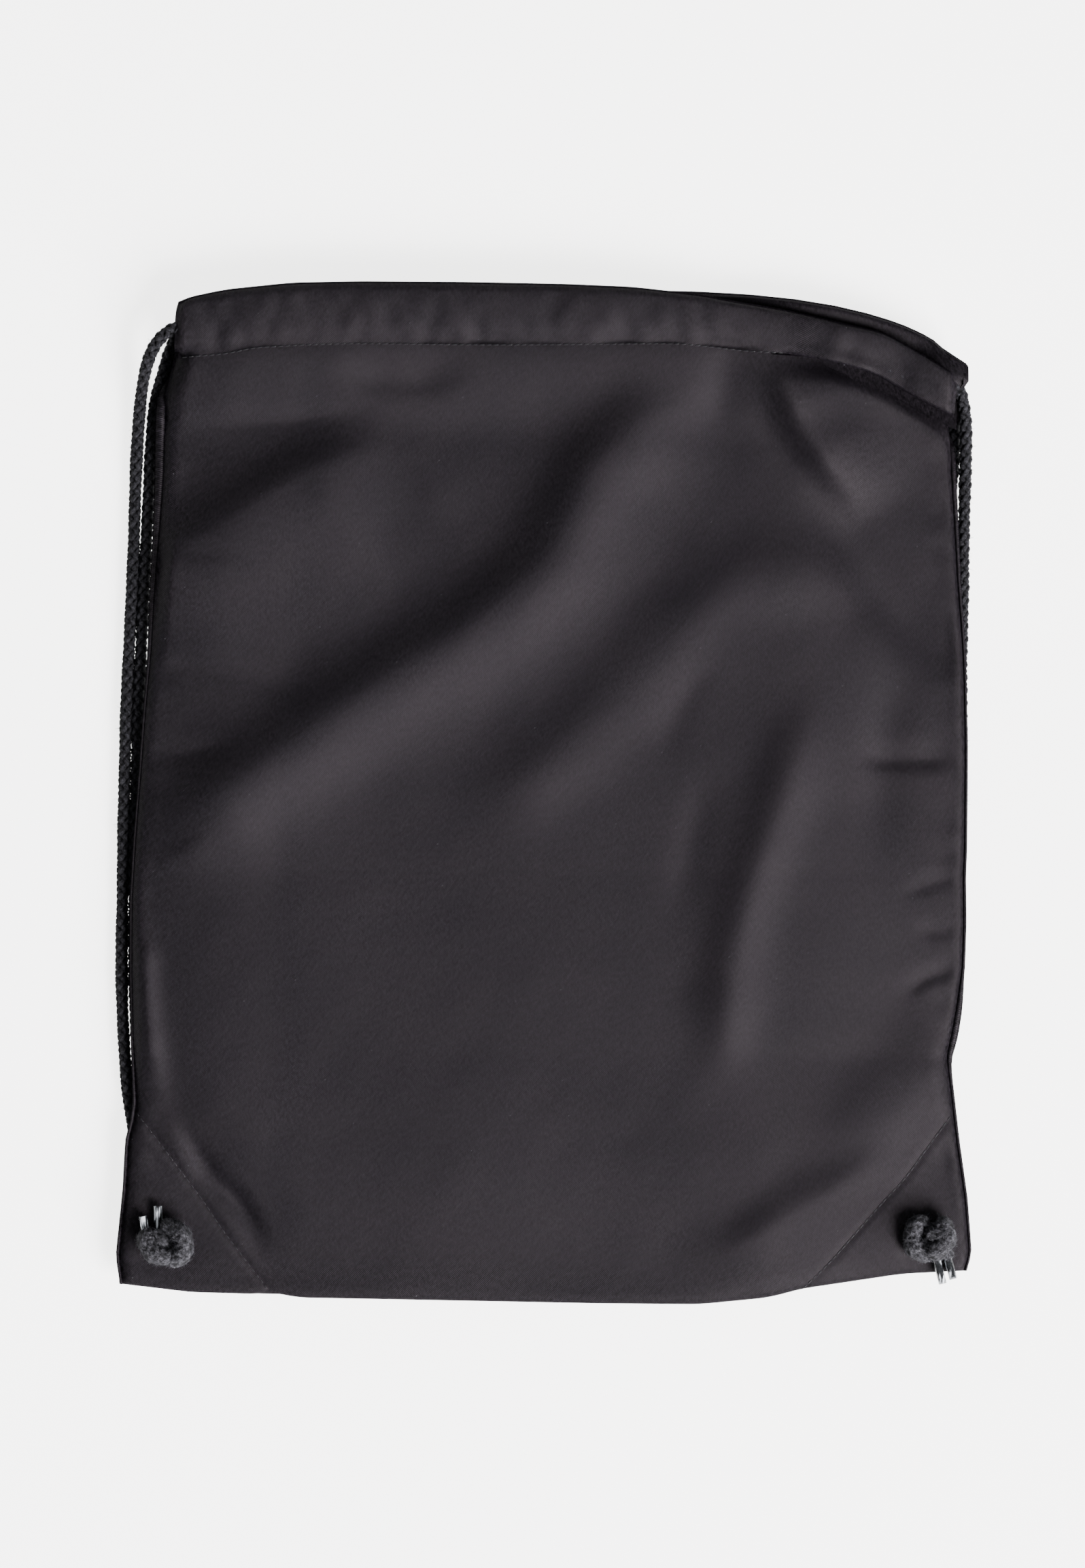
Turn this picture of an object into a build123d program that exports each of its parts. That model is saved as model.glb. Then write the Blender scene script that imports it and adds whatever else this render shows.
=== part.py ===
from build123d import *
import os
from math import radians, tan

# Drawstring backpack: a cotton bag lying on its back, mouth towards +Y, front face up (+Z).
# The origin is the middle of the bag's own box, on the surface that it lies on.
# All lengths are in millimetres.

# ---- cloth ----
CLOTH = 0.8            # panel thickness
ALLOWANCE = 1.0        # turned-in seam allowance between the two panels
EDGE_LIFT = 6.6        # height of the side seams, which lie on the cords
FRONT_LEVEL = 12.6     # inside face of the front panel over the hollow of the bag

# ---- channels at the mouth ----
CHANNEL_HEIGHT = 7.8
MOUTH_GAP = 4.6        # between the two channels
FRONT_TOP = 2 * CHANNEL_HEIGHT + MOUTH_GAP
FRONT_DROP = 3.2       # the front panel leaves its channel this far below the channel's top
STITCH_GAP = 0.4       # thread between a channel's wall and its turned-in flap
WALL_LEFT, WALL_RIGHT = -165.0, 178.0
FLAP_LEFT, FLAP_RIGHT = -153.2, 166.2

# ---- cords ----
CORD = 6.0
FLOOR_LINE = CORD / 2                       # height of a cord's centre on the floor
FRONT_RUN = FRONT_TOP - CHANNEL_HEIGHT / 2  # height of a cord's centre in the front channel
BACK_RUN = CHANNEL_HEIGHT / 2
CORD_PITCH = 6.6       # between the two cords in one channel
TIGHTEST = 5.8         # smallest radius of a cord's middle line, where it rises through a buttonhole

# ---- mouth hinge line, where the side slits end ----
HINGE_LEFT, HINGE_RIGHT = (-172.0, 179.5), (178.5, 163.0)
HINGE_CLEARANCE = 0.4

# ---- bottom corners ----
NECK_PITCH = 6.4       # between the two cords in one buttonhole
LEFT_HOLE, RIGHT_HOLE = (-169.6, -200.5), (172.2, -198.5)
HOLE_WIDTH, HOLE_HEIGHT = 13.4, 8.4
HOLE_OFFSET = 0.6      # the cords slope as they come up, so the hole's middle is above theirs
CORNER_LEVEL = EDGE_LIFT + 2 * CLOTH + ALLOWANCE
NECK_TOP = CORNER_LEVEL + 2.0
KNOT_LENGTH, KNOT_WIDTH, KNOT_HEIGHT = 23.6, 18.8, 11.5
AGLET, AGLET_BORE, AGLET_LENGTH = 3.7, 3.0, 13.0

# ---- outlines of the flat bag: (y, x) down each side and (x, y) along the bottom ----
LEFT_EDGE = [(179.5, -172), (142, -172), (64, -177), (12, -181.5), (-48, -186), (-112, -186),
             (-138, -185), (-178, -189), (-207, -190.5)]
RIGHT_EDGE = [(163, 178.5), (142, 182.5), (73, 187), (20, 189), (-37, 188), (-86, 187), (-118, 183),
              (-141, 183), (-181, 188), (-206, 190.5)]
BOTTOM_EDGE = [(-190.5, -219.5), (-158, -223.5), (-83, -226.3), (69, -229), (115, -222.5),
               (160, -215.5), (190.5, -214)]

# ---- top edges of the two channels: (x, y, depth of the channel) ----
FRONT_HEM = [(-165, 224, 27), (-156, 224.4, 27.5), (-112, 227.4, 28), (-50, 229, 28), (14, 227.8, 28),
             (68, 223.2, 27), (108, 216.2, 25), (141, 208, 23), (169, 199.2, 22), (178, 195.8, 22)]
BACK_HEM = [(-165, 224, 28), (-156, 224.4, 28), (-112, 227.4, 28), (-50, 229, 28), (14, 227.8, 28),
            (68, 225.6, 28), (112, 221.6, 30), (143, 215.6, 32), (169, 205.4, 32), (178, 201, 32)]

# ---- lines of the panels' grid, as shares of the width and of the length ----
ACROSS = [0, 0.015, 0.035, 0.09, 0.17, 0.34, 0.5, 0.66, 0.83, 0.91, 0.965, 0.985, 1]
ALONG = [0, 0.015, 0.1, 0.19, 0.3, 0.48, 0.66, 0.83, 0.96, 1]
SEAM_SHARE = 0.015
BAND_SHARE = 0.035
CORNER_ACROSS, CORNER_ALONG = 0.17, 0.19
SEAM_TOP = 0.96


def along_line(points, at):
    """Value at `at` of the line through (position, value) points, held beyond its ends."""
    points = sorted(points)
    if at <= points[0][0]:
        return points[0][1]
    for (low, first), (high, last) in zip(points, points[1:]):
        if at <= high:
            return first + (last - first) * (at - low) / (high - low)
    return points[-1][1]


def hinge_line(x):
    return along_line([HINGE_LEFT, HINGE_RIGHT], x)


def front_start(x):
    """Line across the front where the channel's piece begins."""
    return hinge_line(x) + HINGE_CLEARANCE


def panel_point(across, along, trim=0.0):
    """Plan position on the flat bag, from its bottom edge to the hinge line less `trim`."""
    x = WALL_LEFT + (WALL_RIGHT - WALL_LEFT) * across
    for _ in range(12):
        low = along_line(BOTTOM_EDGE, x)
        y = low + (hinge_line(x) - trim - low) * along
        left, right = along_line(LEFT_EDGE, y), along_line(RIGHT_EDGE, y)
        x = left + (right - left) * across
    return x, y


def side_share(across):
    """Share of the width from the nearer side."""
    return round(min(across, 1 - across), 6)


def back_level(across, along):
    """Underside of the back panel: on the floor, but over the cords at the sides and corners."""
    from_side = side_share(across)
    over_cords = from_side <= BAND_SHARE and along <= SEAM_TOP
    in_corner = from_side <= CORNER_ACROSS and along <= CORNER_ALONG
    return EDGE_LIFT if over_cords or in_corner else 0.0


def front_level(across, along):
    """Underside of the front panel: sewn to the back at the edges, raised over the hollow."""
    from_side = side_share(across)
    sewn = from_side <= SEAM_SHARE or along <= SEAM_SHARE
    in_corner = from_side <= CORNER_ACROSS and along <= CORNER_ALONG
    if along > SEAM_TOP:
        return FRONT_TOP - FRONT_DROP - CLOTH
    if sewn or in_corner:
        return back_level(across, along) + CLOTH + ALLOWANCE
    return FRONT_LEVEL


def flat_faces(loop):
    """One face for a flat loop of points, or two triangles for a twisted four-sided one."""
    corners = [Vector(*p) for p in loop]
    if len(corners) == 4:
        normal = (corners[1] - corners[0]).cross(corners[2] - corners[0])
        if abs((corners[3] - corners[0]).dot(normal.normalized())) > 1e-6:
            halves = [corners[:3], [corners[0], corners[2], corners[3]]]
            return [Face(Wire.make_polygon(half)) for half in halves]
    return [Face(Wire.make_polygon(corners))]


def closed_solid(loops):
    return Solid(Shell([face for loop in loops for face in flat_faces(loop)]))


def sheet(lower, upper):
    """Solid between two grids of points that lie above one another."""
    loops = []
    for grid in (lower, upper):
        for row, following in zip(grid, grid[1:]):
            for i in range(len(row) - 1):
                loops.append([row[i], row[i + 1], following[i + 1], following[i]])
    rims = [(lower[0], upper[0]), (lower[-1], upper[-1]),
            ([row[0] for row in lower], [row[0] for row in upper]),
            ([row[-1] for row in lower], [row[-1] for row in upper])]
    for below, above in rims:
        for i in range(len(below) - 1):
            loops.append([below[i], below[i + 1], above[i + 1], above[i]])
    return closed_solid(loops)


def strip(sections):
    """Solid through a row of matching flat outlines."""
    loops = [sections[0], sections[-1]]
    for first, last in zip(sections, sections[1:]):
        for i in range(len(first)):
            j = (i + 1) % len(first)
            loops.append([first[i], first[j], last[j], last[i]])
    return closed_solid(loops)


def grid(level, lift, across, along, trim=0.0):
    return [[(*panel_point(a, b, trim), level(a, b) + lift) for a in across] for b in along]


def hem_station(hem, x):
    top = along_line([(at, y) for at, y, depth in hem], x)
    depth = along_line([(at, depth) for at, y, depth in hem], x)
    return top, depth


def channel_sections(hem, xs, drop, flap, height_at, start):
    """Outlines of a channel. `drop` is how deep the panel leaves it, `start` the panel's first line."""
    sections = []
    for x in xs:
        top, depth = hem_station(hem, x)
        bottom = top - start(x)
        outer = [(bottom, drop), (depth, drop), (depth - 3.5, 0), (6, 0), (1.5, 1.6),
                 (0, CHANNEL_HEIGHT / 2)]
        inner = [(CLOTH, CHANNEL_HEIGHT / 2), (2.2, 2.2), (6.3, CLOTH), (depth - 3.8, CLOTH),
                 (depth - 0.2, drop + CLOTH), (bottom, drop + CLOTH)]
        if flap:
            low = drop + CLOTH + STITCH_GAP
            outer += [(1.5, CHANNEL_HEIGHT - 1.6), (6, CHANNEL_HEIGHT), (depth - 3.5, CHANNEL_HEIGHT),
                      (depth - 0.2, low + CLOTH), (depth + 0.8, low + CLOTH)]
            inner = [(depth + 0.8, low), (depth - 0.2, low), (depth - 3.8, CHANNEL_HEIGHT - CLOTH),
                     (6.3, CHANNEL_HEIGHT - CLOTH), (2.2, CHANNEL_HEIGHT - 2.2)] + inner
        sections.append([(x, top - down, height_at(inward)) for down, inward in outer + inner])
    return sections


def channel(hem, drop, height_at, start):
    """A folded channel: its wall reaches the slits, and its turned-in flap stops short of them."""
    middle = [FLAP_LEFT] + [x for x, y, depth in hem if FLAP_LEFT < x < FLAP_RIGHT] + [FLAP_RIGHT]
    body = strip(channel_sections(hem, middle, drop, True, height_at, start))
    for ends in ([WALL_LEFT, FLAP_LEFT], [FLAP_RIGHT, WALL_RIGHT]):
        body += strip(channel_sections(hem, ends, drop, False, height_at, start))
    return body


def channel_thread(hem, drop, height_at):
    sections = []
    for x in [FLAP_LEFT] + [x for x, y, depth in hem if FLAP_LEFT < x < FLAP_RIGHT] + [FLAP_RIGHT]:
        top, depth = hem_station(hem, x)
        low, high = height_at(drop + CLOTH), height_at(drop + CLOTH + STITCH_GAP)
        near, far = top - depth + 0.2, top - depth - 0.8
        sections.append([(x, near, low), (x, far, low), (x, far, high), (x, near, high)])
    return strip(sections)


def front_height(inward):
    return FRONT_TOP - inward


def back_height(inward):
    return inward


def hole_cutter(hole, margin=0.0, low=0.0, high=30.0):
    """Buttonhole slot, `margin` wider all round, from `low` to `high`."""
    wide, deep = HOLE_WIDTH + 2 * margin, HOLE_HEIGHT + 2 * margin
    outline = Pos(hole[0], hole[1] + HOLE_OFFSET, low) * RectangleRounded(wide, deep, deep / 2 - 0.1)
    return extrude(outline, high - low)


def cord(points, name):
    """Tube along hand-laid points, each corner rounded as far as its two runs allow."""
    spots = [Vector(*p) for p in points]
    runs = [b - a for a, b in zip(spots, spots[1:])]
    radii = []
    for first, last in zip(runs, runs[1:]):
        turn = radians(first.get_angle(last))
        radii.append(max(0.45 * min(first.length, last.length) / tan(turn / 2), TIGHTEST))
    path = FilletPolyline(*spots, radius=radii)
    tube = sweep(Plane(path @ 0, z_dir=path % 0) * Circle(CORD / 2), path=path)
    section = Circle(CORD / 2).area
    print(name, "radii", [round(r, 1) for r in radii], "length", round(path.length, 1),
          "volume ratio", round(tube.volume / (section * path.length), 4))
    return tube


def quarter_turn(start, heading, rise, name):
    """Quarter of a loop: leaves `start` along `heading` and ends upright, `rise` above or below."""
    reach = abs(rise)
    begin = Vector(*start)
    ahead = Vector(*heading, 0).normalized()
    up = Vector(0, 0, rise / reach)
    middle = begin + ahead * reach * 0.7071 + up * reach * 0.2929
    path = ThreePointArc(begin, middle, begin + ahead * reach + up * reach)
    print(name, "radius", reach)
    return sweep(Plane(path @ 0, z_dir=path % 0) * Circle(CORD / 2), path=path)


parts = {}

# ---- panels and channels ----
parts["front_panel"] = sheet(grid(front_level, 0, ACROSS, ALONG, HINGE_CLEARANCE),
                             grid(front_level, CLOTH, ACROSS, ALONG, HINGE_CLEARANCE))
parts["front_mouth"] = channel(FRONT_HEM, FRONT_DROP, front_height, front_start)
parts["back_panel"] = sheet(grid(back_level, 0, ACROSS, ALONG), grid(back_level, CLOTH, ACROSS, ALONG))
parts["back_mouth"] = channel(BACK_HEM, 0, back_height, hinge_line)
parts["front_channel_stitching"] = channel_thread(FRONT_HEM, FRONT_DROP, front_height)
parts["back_channel_stitching"] = channel_thread(BACK_HEM, 0, back_height)


def seam(across, along):
    """Turned-in allowance and thread between the two panels."""
    return sheet(grid(back_level, CLOTH, across, along), grid(front_level, 0, across, along))


side_rows = [b for b in ALONG if SEAM_SHARE <= b <= SEAM_TOP]
parts["left_side_seam"] = seam([0, SEAM_SHARE], side_rows)
parts["right_side_seam"] = seam([1 - SEAM_SHARE, 1], side_rows)
parts["bottom_seam"] = seam(ACROSS, [0, SEAM_SHARE])

# ---- reinforced bottom corners ----
for side, hole in (("left", LEFT_HOLE), ("right", RIGHT_HOLE)):
    def place(across, along):
        return panel_point(across if side == "left" else 1 - across, along)

    triangle = [place(0.02, 0.02), place(0.02, CORNER_ALONG - 0.01), place(CORNER_ACROSS - 0.01, 0.02)]
    patch = extrude(Pos(0, 0, EDGE_LIFT + CLOTH) * make_face(Polyline(*triangle, close=True)), ALLOWANCE)
    parts[side + "_corner_patch"] = patch - hole_cutter(hole)
    upper, lower = Vector(*place(0.022, CORNER_ALONG - 0.004)), Vector(*place(CORNER_ACROSS - 0.004, 0.003))
    middle, run = (upper + lower) / 2, lower - upper
    turn = Vector(1, 0, 0).get_signed_angle(run, Vector(0, 0, 1))
    row = Pos(middle.X, middle.Y, CORNER_LEVEL) * Rot(0, 0, turn) * Rectangle(run.length, 1.0)
    parts[side + "_corner_stitching"] = extrude(row, 0.3)
    ring = hole_cutter(hole, 1.6, CORNER_LEVEL, CORNER_LEVEL + 0.4)
    parts[side + "_buttonhole_stitching"] = ring - hole_cutter(hole)
    for panel in ("front_panel", "back_panel"):
        parts[panel] -= hole_cutter(hole)

# ---- cord runs inside the channels: the left cord is the lower one, the right cord the upper ----
# A cord's run stops short of its strands at one end, and turns into its loop at the other.
FRONT_LINE = [(-112, 212.6), (-50, 214.2), (14, 213), (68, 208.4), (108, 201.4), (141, 193.2)]
BACK_LINE = [(-112, 212.6), (-50, 214.2), (14, 213), (68, 209.6), (110, 203.2), (141, 193.2)]
RUN_ENDS = {"left": ((-155.6, 209.627), (166, 184)), "right": ((-153, 209.805), (168.6, 184.526))}
LOOP_HEADING = {"left": (25, -9.2), "right": (-44, -3)}
half_drop = (FRONT_RUN - BACK_RUN) / 2
for side, shift in (("left", 0), ("right", CORD_PITCH)):
    first, last = RUN_ENDS[side]
    loop_end = last if side == "left" else first
    for layer, line, height, rise in (("front", FRONT_LINE, FRONT_RUN, -half_drop),
                                      ("back", BACK_LINE, BACK_RUN, half_drop)):
        name = f"{side}_cord_{layer}_run"
        parts[name] = cord([(x, y + shift, height) for x, y in [first, *line, last]], name)
        name = f"{side}_cord_{layer}_loop"
        start = (loop_end[0], loop_end[1] + shift, height)
        parts[name] = quarter_turn(start, LOOP_HEADING[side], rise, name)


def buttonhole_rise(hole, shift):
    """Last points of a strand: along the floor to the hole and up through it."""
    x, y = hole[0] + shift, hole[1]
    return [(x, y + 4.392, 3), (x, y + 1.608, 4.608), (x, y, 7.392), (x, y, CORNER_LEVEL)]


# ---- free strands: from the channels down the sides, under the bag and up through the corners ----
inner, outer = NECK_PITCH / 2, -NECK_PITCH / 2
STRANDS = {
    "left_front_strand": [
        (-156, 209.6, 16.3), (-164, 209.055, 16.3), (-172.4, 204, 14.6), (-177.6, 195, 11.4),
        (-180.6, 183, 7.4), (-182.5, 166, 4.3), (-184.3, 140, 3), (-185.8, 100, 3), (-188.4, 55, 3),
        (-189.8, 10, 3), (-190.4, -36, 3), (-191.2, -82, 3), (-189.4, -120, 3), (-185.6, -148, 3),
        (-180.2, -168, 3), (-175.8, -182, 3), (-173.2, -191, 3)] + buttonhole_rise(LEFT_HOLE, outer),
    "left_back_strand": [
        (-156, 209.6, 3.9), (-163, 209.123, 3.9), (-168, 200.5, 3.9), (-171, 190, 3.9),
        (-174.4, 180, 3.9), (-176.2, 167, 3), (-176.8, 146, 3), (-177.6, 112, 3), (-179.4, 72, 3),
        (-181.6, 34, 3), (-183.2, -8, 3), (-184, -52, 3), (-183.6, -94, 3), (-182.2, -124, 3),
        (-178.8, -148, 3), (-173.2, -168, 3), (-168.8, -182, 3), (-166.7, -191, 3)]
        + buttonhole_rise(LEFT_HOLE, inner),
    "right_front_strand": [
        (169, 191, 16.3), (177.6, 188.297, 16.3), (184.2, 183, 15.4), (187.4, 175, 12.6),
        (188.6, 163, 9.2), (188.4, 145, 6), (187.9, 120, 3.9), (187.4, 88, 3), (186.6, 46, 3),
        (186.8, 2, 3), (185.6, -40, 3), (181.6, -78, 3), (178.6, -112, 3), (178.6, -142, 3),
        (178.4, -166, 3), (176.6, -182, 3), (175.6, -190, 3)] + buttonhole_rise(RIGHT_HOLE, inner),
    "right_back_strand": [
        (169, 191, 3.9), (178, 188.171, 3.9), (182.6, 180.4, 3.9), (183.8, 169, 3.3), (183.8, 153, 3),
        (181.2, 130, 3), (180.4, 98, 3), (179.8, 56, 3), (180, 12, 3), (178.8, -32, 3), (174.8, -72, 3),
        (171.8, -108, 3), (171.6, -140, 3), (171.8, -164, 3), (170.2, -181, 3), (169.2, -189.6, 3)]
        + buttonhole_rise(RIGHT_HOLE, outer),
}
for name, points in STRANDS.items():
    parts[name] = cord(points, name)

# ---- knots on the front, with two short ends in clear plastic aglets that lie in their folds ----
# Each aglet is (where its middle line enters the knot, where its tip lies).
AGLET_LEVEL = NECK_TOP + 2.4
AGLETS = {
    "left": [((-178.1, -199.5), (-179.9, -188.9)), ((-172.8, -196.2), (-173.2, -184.3))],
    "right": [((174.5, -206.3), (177.7, -218.9)), ((179.4, -205.3), (182.4, -216.8))],
}
CORE_SHORT = 1.0       # the cord inside an aglet stops this far from its tip
for side, hole, tilt in (("left", LEFT_HOLE, 0), ("right", RIGHT_HOLE, -8)):
    necks = [Pos(hole[0] + shift, hole[1], CORNER_LEVEL)
             * extrude(Circle(CORD / 2), NECK_TOP - CORNER_LEVEL) for shift in (inner, outer)]
    parts[side + "_neck"] = necks[0] + necks[1]
    knot = extrude(Ellipse(KNOT_LENGTH / 2, KNOT_WIDTH / 2), KNOT_HEIGHT)
    knot = Pos(hole[0], hole[1], NECK_TOP) * Rot(0, 0, tilt) * fillet(knot.edges(), 4.0)
    for letter, (enters, tip) in zip("ab", AGLETS[side]):
        stop = Vector(*tip, AGLET_LEVEL)
        lie = (stop - Vector(*enters, AGLET_LEVEL)).normalized()
        place = Plane(stop - lie * AGLET_LENGTH, z_dir=lie)
        knot -= extrude(place * Circle(AGLET / 2), AGLET_LENGTH)
        tube = place * (Circle(AGLET / 2) - Circle(AGLET_BORE / 2))
        parts[f"{side}_aglet_{letter}"] = extrude(tube, AGLET_LENGTH)
        parts[f"{side}_cord_end_{letter}"] = extrude(place * Circle(AGLET_BORE / 2),
                                                     AGLET_LENGTH - CORE_SHORT)
    parts[side + "_knot"] = knot

for node, shape in parts.items():
    export_step(shape, f"parts/{node}.step")
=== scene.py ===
import math

import bpy
import numpy as np
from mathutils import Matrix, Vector


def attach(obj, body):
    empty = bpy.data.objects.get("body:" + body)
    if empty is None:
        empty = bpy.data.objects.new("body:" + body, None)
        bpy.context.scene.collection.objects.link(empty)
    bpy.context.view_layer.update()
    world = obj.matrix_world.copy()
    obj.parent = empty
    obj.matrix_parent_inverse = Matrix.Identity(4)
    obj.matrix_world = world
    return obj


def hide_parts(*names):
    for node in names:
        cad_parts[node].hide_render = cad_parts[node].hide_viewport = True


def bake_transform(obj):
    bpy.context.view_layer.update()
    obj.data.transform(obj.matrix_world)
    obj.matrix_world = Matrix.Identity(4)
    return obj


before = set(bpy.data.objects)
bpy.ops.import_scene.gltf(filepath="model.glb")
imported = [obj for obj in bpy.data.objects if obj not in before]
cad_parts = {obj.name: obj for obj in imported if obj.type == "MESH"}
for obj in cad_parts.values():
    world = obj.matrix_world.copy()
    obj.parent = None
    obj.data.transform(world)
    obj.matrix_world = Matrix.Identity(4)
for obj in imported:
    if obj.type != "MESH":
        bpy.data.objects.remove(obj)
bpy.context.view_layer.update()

# Lengths below are in millimetres and are turned into metres where meshes are made.
MM = 0.001
rng = np.random.default_rng(11)

# ---------------------------------------------------------------- camera
camera = bpy.data.objects.new("camera", bpy.data.cameras.new("camera"))
bpy.context.scene.collection.objects.link(camera)
bpy.context.scene.camera = camera
CAMERA_DISTANCE, CLOTH_LEVEL = 2.4, 0.012  # metres: camera above the cloth, cloth above the floor
FRAME_SPAN = 0.7014                        # metres of cloth from the top of the picture to its bottom
SENSOR = 36
camera.location = (-0.0012, 0.0044, CAMERA_DISTANCE + CLOTH_LEVEL)
camera.data.sensor_width = SENSOR
camera.data.lens = SENSOR * CAMERA_DISTANCE / FRAME_SPAN
camera.data.clip_start = 0.05


# ---------------------------------------------------------------- small helpers
def ease(t):
    """0 below 0, 1 above 1 and a smooth step between."""
    t = np.clip(t, 0, 1)
    return t * t * (3 - 2 * t)


def along(points, at, soft=5.0):
    """Value at `at` of a line through (position, value) points, with its corners rounded."""
    points = sorted(points)
    xs, ys = [p[0] for p in points], [p[1] for p in points]
    return sum(np.interp(at + d * soft, xs, ys) for d in (-1, -0.5, 0, 0.5, 1)) / 5


def run_along(line):
    """Distance along a line at each of its points."""
    return np.concatenate([[0], np.cumsum(np.linalg.norm(np.diff(line, axis=0), axis=1))])


def smooth_line(points, step=1.0):
    """Points every `step` along a curve through given points."""
    p = np.array(points, float)
    p = np.vstack([2 * p[0] - p[1], p, 2 * p[-1] - p[-2]])
    out = []
    for a, b, c, d in zip(p, p[1:], p[2:], p[3:]):
        n = max(2, int(np.linalg.norm(c - b) / step))
        t = (np.arange(n) / n)[:, None]
        squared = (2 * a - 5 * b + 4 * c - d) * t**2
        cubed = (3 * b - a - 3 * c + d) * t**3
        out.append(0.5 * (2 * b + (c - a) * t + squared + cubed))
    return np.vstack(out + [p[-2:-1]])


def waves(x, y, size, count, seed):
    """Gentle unevenness, between about -1 and 1, with bumps of about `size`."""
    r = np.random.default_rng(seed)
    total = np.zeros_like(x)
    for _ in range(count):
        turn, phase = r.uniform(0, 2 * math.pi, 2)
        k = 2 * math.pi / (size * r.uniform(1.2, 2.6))
        total += np.sin(k * (x * math.cos(turn) + y * math.sin(turn)) + phase)
    return total / math.sqrt(count)


def joined(parts):
    """One set of points, faces and uv from several, each with its faces numbered from 0."""
    points, faces, uv = zip(*parts)
    starts = np.cumsum([0] + [len(some) for some in points])
    return np.vstack(points), np.vstack([some + start for some, start in zip(faces, starts)]), np.vstack(uv)


def add_mesh(name, points, faces, uv, material):
    """A smooth mesh from points in millimetres. The uv is per point: the place on the flat cut and, for yarns
    and threads, how far out of the plait the point lies, which the cord material turns into painted shade."""
    mesh = bpy.data.meshes.new(name)
    mesh.vertices.add(len(points))
    mesh.vertices.foreach_set("co", (points * MM).astype(np.float32).ravel())
    mesh.loops.add(faces.size)
    mesh.loops.foreach_set("vertex_index", faces.astype(np.int32).ravel())
    mesh.polygons.add(len(faces))
    mesh.polygons.foreach_set("loop_start", np.arange(0, faces.size, faces.shape[1], dtype=np.int32))
    mesh.update(calc_edges=True)
    corners = uv.astype(np.float32)[faces.ravel()]
    mesh.uv_layers.new(name="cut").data.foreach_set("uv", corners[:, :2].ravel())
    # the third column becomes the depth layer: painted shade and highlight for the cord material
    if uv.shape[1] == 3:
        mesh.uv_layers.new(name="depth").data.foreach_set("uv", corners[:, [2, 2]].ravel())
    mesh.polygons.foreach_set("use_smooth", [True] * len(faces))
    mesh.validate()
    mesh.materials.append(material)
    made = bpy.data.objects.new(name, mesh)
    bpy.context.scene.collection.objects.link(made)
    return made


# ---------------------------------------------------------------- shader nodes
def new_material(name):
    material = bpy.data.materials.new(name)
    material.use_nodes = True
    tree = material.node_tree
    return material, tree, tree.nodes["Principled BSDF"]


def fill(tree, made, inputs):
    """Set a node's sockets by name or number. A value that is itself a socket is linked."""
    for key, value in inputs.items():
        if isinstance(value, bpy.types.NodeSocket):
            tree.links.new(value, made.inputs[key])
        else:
            made.inputs[key].default_value = value


def node(tree, kind, inputs, **settings):
    made = tree.nodes.new(kind)
    for key, value in settings.items():
        setattr(made, key, value)
    fill(tree, made, inputs)
    return made


def ramp(tree, source, low, high, first, second):
    """Colour that goes from `first`, where the source is `low`, to `second`, where it is `high`."""
    made = node(tree, "ShaderNodeValToRGB", {"Fac": source})
    made.color_ramp.elements[0].position = low
    made.color_ramp.elements[0].color = (*first, 1)
    made.color_ramp.elements[1].position = high
    made.color_ramp.elements[1].color = (*second, 1)
    return made.outputs["Color"]


def grey_ramp(tree, source, low, high, first, second):
    return ramp(tree, source, low, high, (first, first, first), (second, second, second))


def multiply(tree, first, second):
    inputs = {0: 1.0, 6: first, 7: second}
    return node(tree, "ShaderNodeMix", inputs, data_type="RGBA", blend_type="MULTIPLY").outputs[2]


def noise(tree, place, scale, detail, roughness=0.5):
    inputs = {"Vector": place, "Scale": scale, "Detail": detail, "Roughness": roughness}
    return node(tree, "ShaderNodeTexNoise", inputs).outputs["Fac"]


def mapped(tree, place, degrees, scale):
    """A place turned about z and stretched."""
    inputs = {"Vector": place, "Rotation": (0, 0, math.radians(degrees)), "Scale": scale}
    return node(tree, "ShaderNodeMapping", inputs).outputs["Vector"]


def bump(tree, height, strength, distance):
    inputs = {"Height": height, "Strength": strength, "Distance": distance}
    return node(tree, "ShaderNodeBump", inputs).outputs["Normal"]


def own_space(tree):
    return node(tree, "ShaderNodeTexCoord", {}).outputs["Object"]


def millimetres(tree, carried):
    """Place on the surface in mm: the flat cut, or the own space of a piece carried over from the CAD."""
    if not carried:
        return node(tree, "ShaderNodeUVMap", {}, uv_map="cut").outputs["UV"]
    inputs = {0: own_space(tree), "Scale": 1 / MM}
    return node(tree, "ShaderNodeVectorMath", inputs, operation="SCALE").outputs["Vector"]


# ---------------------------------------------------------------- materials
TWILL_DARK, TWILL_LIGHT = (0.0020, 0.0018, 0.0023), (0.0058, 0.0051, 0.0064)
TWILL_GLOSS = 0.068
LINT = (0.05, 0.05, 0.055, 1)


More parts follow.
